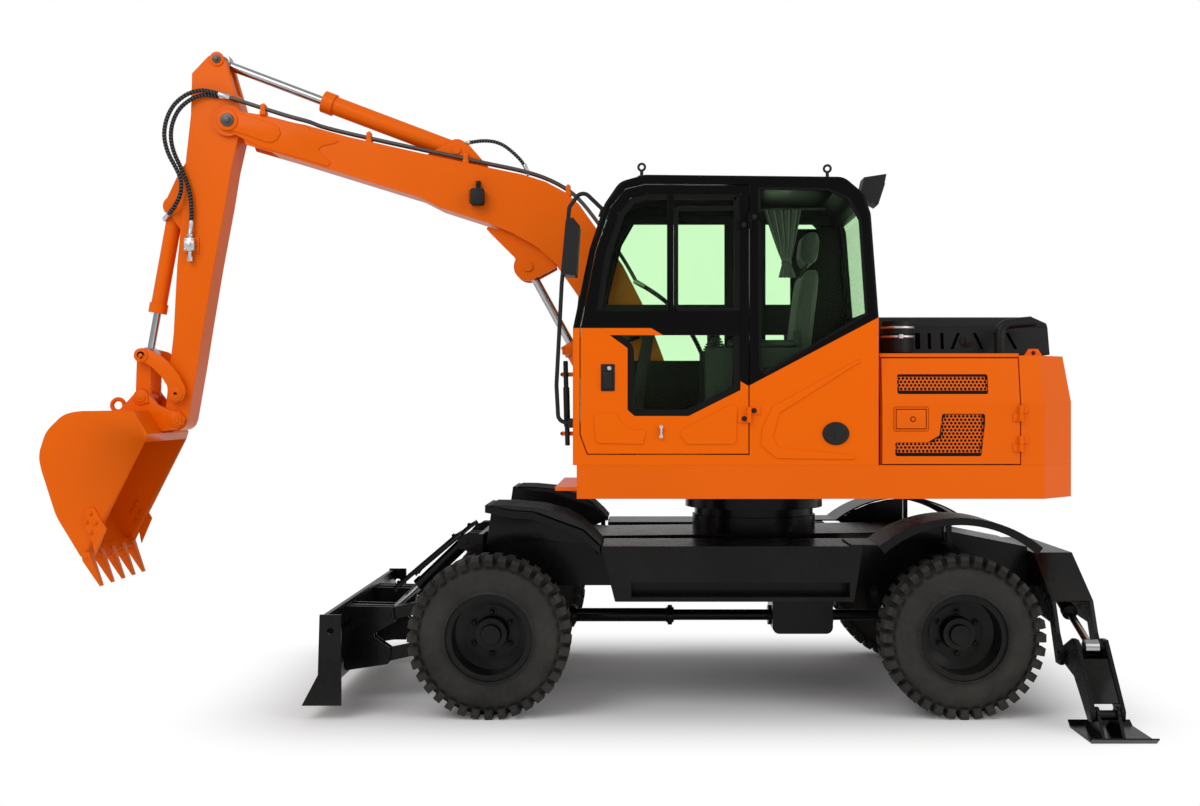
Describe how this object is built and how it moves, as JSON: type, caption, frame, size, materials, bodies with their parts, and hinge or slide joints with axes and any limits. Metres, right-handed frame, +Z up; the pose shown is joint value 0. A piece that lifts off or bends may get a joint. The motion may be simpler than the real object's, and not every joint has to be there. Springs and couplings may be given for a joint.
{
  "type": "wheeled excavator",
  "caption": "Compact wheeled excavator with a cab, a jointed boom, arm and bucket, a front dozer blade and rear stabiliser legs, with working joints.",
  "frame": {"origin": "on the ground under the middle of the machine's overall box", "axes": "+X to the rear of the machine, its front and bucket at -X, +Y to its right-hand side, +Z up"},
  "size_m": [6.01, 3.04, 3.785],
  "materials": {
    "body_orange": "gloss",
    "hood_black": "satin",
    "chassis_black": "gloss",
    "ram_barrel": "gloss",
    "ram_rod": "polished",
    "tyre": "matte",
    "rim_paint": "gloss",
    "glass": "clear",
    "seat_fabric": "woven",
    "interior_plastic": "matte",
    "engine_iron": "rough"
  },
  "bodies": {
    "undercarriage": {"chassis_frame": "chassis_black", "blade_mount": "chassis_black", "side_boxes": "chassis_black", "fenders": "chassis_black", "front_axle": "chassis_black", "rear_axle": "chassis_black", "driveline": "chassis_black", "swing_ring": "chassis_black", "stabiliser_frame": "chassis_black"},
    "knuckle_left": {"knuckle_left": "chassis_black"},
    "knuckle_right": {"knuckle_right": "chassis_black"},
    "steering_rod": {"steering_rod": "ram_rod"},
    "wheel_front_left": {"tyre_front_left": "tyre", "rim_front_left": "rim_paint"},
    "wheel_front_right": {"tyre_front_right": "tyre", "rim_front_right": "rim_paint"},
    "wheel_rear_left": {"tyre_rear_left": "tyre", "rim_rear_left": "rim_paint"},
    "wheel_rear_right": {"tyre_rear_right": "tyre", "rim_rear_right": "rim_paint"},
    "blade_lower_links": {"blade_lower_links": "chassis_black"},
    "blade_upper_links": {"blade_upper_links": "chassis_black"},
    "dozer_blade": {"dozer_blade": "chassis_black"},
    "blade_barrels": {"blade_barrels": "chassis_black"},
    "blade_rods": {"blade_rods": "ram_rod"},
    "stabiliser_leg_left": {"stabiliser_leg_left": "chassis_black"},
    "stabiliser_pad_left": {"stabiliser_pad_left": "chassis_black"},
    "stabiliser_barrel_left": {"stabiliser_barrel_left": "chassis_black"},
    "stabiliser_rod_left": {"stabiliser_rod_left": "ram_rod"},
    "stabiliser_leg_right": {"stabiliser_leg_right": "chassis_black"},
    "stabiliser_pad_right": {"stabiliser_pad_right": "chassis_black"},
    "stabiliser_barrel_right": {"stabiliser_barrel_right": "chassis_black"},
    "stabiliser_rod_right": {"stabiliser_rod_right": "ram_rod"},
    "upper_frame": {"platform": "body_orange", "cab_frame": "body_orange", "cab_glass": "glass", "operator_seat": "seat_fabric", "cab_controls": "interior_plastic", "rail_and_mirror": "hood_black", "counterweight": "body_orange", "engine": "engine_iron", "engine_frame": "body_orange", "right_housing": "body_orange", "exhaust_and_cleaner": "hood_black"},
    "cab_door": {"cab_door": "body_orange", "door_glass": "glass"},
    "side_door_left": {"side_door_left": "body_orange"},
    "side_door_right": {"side_door_right": "body_orange"},
    "engine_hood": {"engine_hood": "hood_black"},
    "boom": {"boom": "body_orange"},
    "boom_barrel": {"boom_barrel": "ram_barrel"},
    "boom_rod": {"boom_rod": "ram_rod"},
    "arm": {"arm": "body_orange"},
    "arm_barrel": {"arm_barrel": "ram_barrel"},
    "arm_rod": {"arm_rod": "ram_rod"},
    "bucket_barrel": {"bucket_barrel": "ram_barrel"},
    "bucket_rod": {"bucket_rod": "ram_rod"},
    "rocker": {"rocker": "body_orange"},
    "bucket_link": {"bucket_link": "body_orange"},
    "bucket": {"bucket": "body_orange"}
  },
  "joints": [
    {"name": "swing", "type": "hinge", "parent": "undercarriage", "child": "upper_frame", "pos_m": [1.157, 0, 1.163], "axis": [0, 0, 1], "continuous": true},
    {"name": "steer_left", "type": "hinge", "parent": "undercarriage", "child": "knuckle_left", "pos_m": [-0.318, -0.66, 0.43], "axis": [0, 0, 1], "range_deg": [-30, 30]},
    {"name": "roll_front_left", "type": "hinge", "parent": "knuckle_left", "child": "wheel_front_left", "pos_m": [-0.318, -0.8825, 0.43], "axis": [0, 1, 0], "continuous": true},
    {"name": "roll_rear_left", "type": "hinge", "parent": "undercarriage", "child": "wheel_rear_left", "pos_m": [2.184, -0.8825, 0.43], "axis": [0, 1, 0], "continuous": true},
    {"name": "steer_right", "type": "hinge", "parent": "undercarriage", "child": "knuckle_right", "pos_m": [-0.318, 0.66, 0.43], "axis": [0, 0, 1], "range_deg": [-30, 30]},
    {"name": "roll_front_right", "type": "hinge", "parent": "knuckle_right", "child": "wheel_front_right", "pos_m": [-0.318, 0.8825, 0.43], "axis": [0, 1, 0], "continuous": true},
    {"name": "roll_rear_right", "type": "hinge", "parent": "undercarriage", "child": "wheel_rear_right", "pos_m": [2.184, 0.8825, 0.43], "axis": [0, 1, 0], "continuous": true},
    {"name": "steering_rod_slide", "type": "slide", "parent": "undercarriage", "child": "steering_rod", "axis": [0, 1, 0], "range_m": [-0.082, 0.082]},
    {"name": "blade_lift", "type": "hinge", "parent": "undercarriage", "child": "blade_lower_links", "pos_m": [-0.506, 0, 0.34], "axis": [0, 1, 0], "range_deg": [-18, 30]},
    {"name": "blade_upper_swing", "type": "hinge", "parent": "undercarriage", "child": "blade_upper_links", "pos_m": [-0.483, 0, 0.572], "axis": [0, 1, 0], "range_deg": [-18.5, 30.5]},
    {"name": "blade_level", "type": "hinge", "parent": "blade_lower_links", "child": "dozer_blade", "pos_m": [-0.964, 0, 0.243], "axis": [0, 1, 0], "range_deg": [-30.5, 18.5]},
    {"name": "blade_barrel_swing", "type": "hinge", "parent": "undercarriage", "child": "blade_barrels", "pos_m": [-0.518, 0, 0.881], "axis": [0, 1, 0], "range_deg": [-12.99, 21.32]},
    {"name": "blade_rod_slide", "type": "slide", "parent": "blade_barrels", "child": "blade_rods", "axis": [-0.7215, 0, -0.6925], "range_m": [-0.1377, 0.0834]},
    {"name": "stabiliser_left", "type": "hinge", "parent": "undercarriage", "child": "stabiliser_leg_left", "pos_m": [2.811, -0.906, 0.324], "axis": [-1, 0, 0], "range_deg": [0, 90]},
    {"name": "pad_level_left", "type": "hinge", "parent": "stabiliser_leg_left", "child": "stabiliser_pad_left", "pos_m": [2.811, -1.33, 0.105], "axis": [-1, 0, 0], "range_deg": [-27.5, 0.5]},
    {"name": "stabiliser_barrel_swing_left", "type": "hinge", "parent": "undercarriage", "child": "stabiliser_barrel_left", "pos_m": [2.811, -0.33, 0.682], "axis": [-1, 0, 0], "range_deg": [-0.5, 5.36]},
    {"name": "stabiliser_rod_slide_left", "type": "slide", "parent": "stabiliser_barrel_left", "child": "stabiliser_rod_left", "axis": [0, -0.9383, -0.3457], "range_m": [-0.2818, 0.002]},
    {"name": "stabiliser_right", "type": "hinge", "parent": "undercarriage", "child": "stabiliser_leg_right", "pos_m": [2.811, 0.906, 0.324], "axis": [1, 0, 0], "range_deg": [0, 90]},
    {"name": "pad_level_right", "type": "hinge", "parent": "stabiliser_leg_right", "child": "stabiliser_pad_right", "pos_m": [2.811, 1.33, 0.105], "axis": [1, 0, 0], "range_deg": [-27.5, 0.5]},
    {"name": "stabiliser_barrel_swing_right", "type": "hinge", "parent": "undercarriage", "child": "stabiliser_barrel_right", "pos_m": [2.811, 0.33, 0.682], "axis": [1, 0, 0], "range_deg": [-0.5, 5.36]},
    {"name": "stabiliser_rod_slide_right", "type": "slide", "parent": "stabiliser_barrel_right", "child": "stabiliser_rod_right", "axis": [0, 0.9383, -0.3457], "range_m": [-0.2818, 0.002]},
    {"name": "cab_door_swing", "type": "hinge", "parent": "upper_frame", "child": "cab_door", "pos_m": [1.05, -1.013, 2], "axis": [0, 0, 1], "range_deg": [0, 110]},
    {"name": "side_door_left_swing", "type": "hinge", "parent": "upper_frame", "child": "side_door_left", "pos_m": [2.474, -1.014, 1.64], "axis": [0, 0, 1], "range_deg": [0, 100]},
    {"name": "side_door_right_swing", "type": "hinge", "parent": "upper_frame", "child": "side_door_right", "pos_m": [2.474, 1.014, 1.64], "axis": [0, 0, -1], "range_deg": [0, 100]},
    {"name": "hood_lift", "type": "hinge", "parent": "upper_frame", "child": "engine_hood", "pos_m": [2.774, 0, 1.944], "axis": [0, 1, 0], "range_deg": [0, 50]},
    {"name": "boom_lift", "type": "hinge", "parent": "upper_frame", "child": "boom", "pos_m": [0.687, 0.1, 1.5], "axis": [0, 1, 0], "range_deg": [-55, 25]},
    {"name": "boom_barrel_swing", "type": "hinge", "parent": "upper_frame", "child": "boom_barrel", "pos_m": [0.442, 0.1, 1.33], "axis": [0, 1, 0], "range_deg": [-57.52, 26.42]},
    {"name": "boom_rod_slide", "type": "slide", "parent": "boom_barrel", "child": "boom_rod", "axis": [-0.4827, 0, 0.8758], "range_m": [-0.2588, 0.1187]},
    {"name": "arm_swing", "type": "hinge", "parent": "boom", "child": "arm", "pos_m": [-1.979, 0.1, 3.351], "axis": [0, -1, 0], "range_deg": [-50, 45]},
    {"name": "arm_barrel_swing", "type": "hinge", "parent": "boom", "child": "arm_barrel", "pos_m": [-0.62, 0.1, 3.183], "axis": [0, -1, 0], "range_deg": [-6.46, 5.86]},
    {"name": "arm_rod_slide", "type": "slide", "parent": "arm_barrel", "child": "arm_rod", "axis": [-0.9354, 0, 0.3536], "range_m": [-0.2755, 0.2482]},
    {"name": "bucket_tilt", "type": "hinge", "parent": "arm", "child": "bucket", "pos_m": [-2.298, 0.1, 1.569], "axis": [0, 1, 0], "range_deg": [-130, 15]},
    {"name": "rocker_swing", "type": "hinge", "parent": "arm", "child": "rocker", "pos_m": [-2.283, 0.1, 1.72], "axis": [0, 1, 0], "range_deg": [-104.7, 12.52]},
    {"name": "link_swing", "type": "hinge", "parent": "rocker", "child": "bucket_link", "pos_m": [-2.49, 0.1, 1.95], "axis": [0, 1, 0], "range_deg": [-6.53, 52.76]},
    {"name": "bucket_barrel_swing", "type": "hinge", "parent": "arm", "child": "bucket_barrel", "pos_m": [-2.328, 0.1, 2.849], "axis": [0, 1, 0], "range_deg": [-2.28, 0.71]},
    {"name": "bucket_rod_slide", "type": "slide", "parent": "bucket_barrel", "child": "bucket_rod", "axis": [-0.1773, 0, -0.9841], "range_m": [-0.0589, 0.4948]}
  ],
  "couplings": [
    {"joint": "steer_right", "follows": "steer_left", "ratio": 1},
    {"joint": "steering_rod_slide", "follows": "steer_left", "m_per_rad": 0.15279},
    {"joint": "blade_upper_swing", "follows": "blade_lift", "ratio": 1},
    {"joint": "blade_level", "follows": "blade_lift", "ratio": -1},
    {"joint": "blade_barrel_swing", "follows": "blade_lift", "ratio": 0.69416},
    {"joint": "blade_rod_slide", "follows": "blade_lift", "m_per_rad": -0.25926},
    {"joint": "pad_level_left", "follows": "stabiliser_left", "ratio": -0.3},
    {"joint": "stabiliser_barrel_swing_left", "follows": "stabiliser_left", "ratio": 0.05405},
    {"joint": "stabiliser_rod_slide_left", "follows": "stabiliser_left", "m_per_rad": -0.17812},
    {"joint": "pad_level_right", "follows": "stabiliser_right", "ratio": -0.3},
    {"joint": "stabiliser_barrel_swing_right", "follows": "stabiliser_right", "ratio": 0.05405},
    {"joint": "stabiliser_rod_slide_right", "follows": "stabiliser_right", "m_per_rad": -0.17812},
    {"joint": "boom_barrel_swing", "follows": "boom_lift", "ratio": 1.0367},
    {"joint": "boom_rod_slide", "follows": "boom_lift", "m_per_rad": 0.2675},
    {"joint": "arm_barrel_swing", "follows": "arm_swing", "ratio": 0.11914},
    {"joint": "arm_rod_slide", "follows": "arm_swing", "m_per_rad": 0.31341},
    {"joint": "rocker_swing", "follows": "bucket_tilt", "ratio": 0.80157},
    {"joint": "link_swing", "follows": "bucket_tilt", "ratio": -0.40199},
    {"joint": "bucket_barrel_swing", "follows": "bucket_tilt", "ratio": 0.01369},
    {"joint": "bucket_rod_slide", "follows": "bucket_tilt", "m_per_rad": -0.21721}
  ]
}
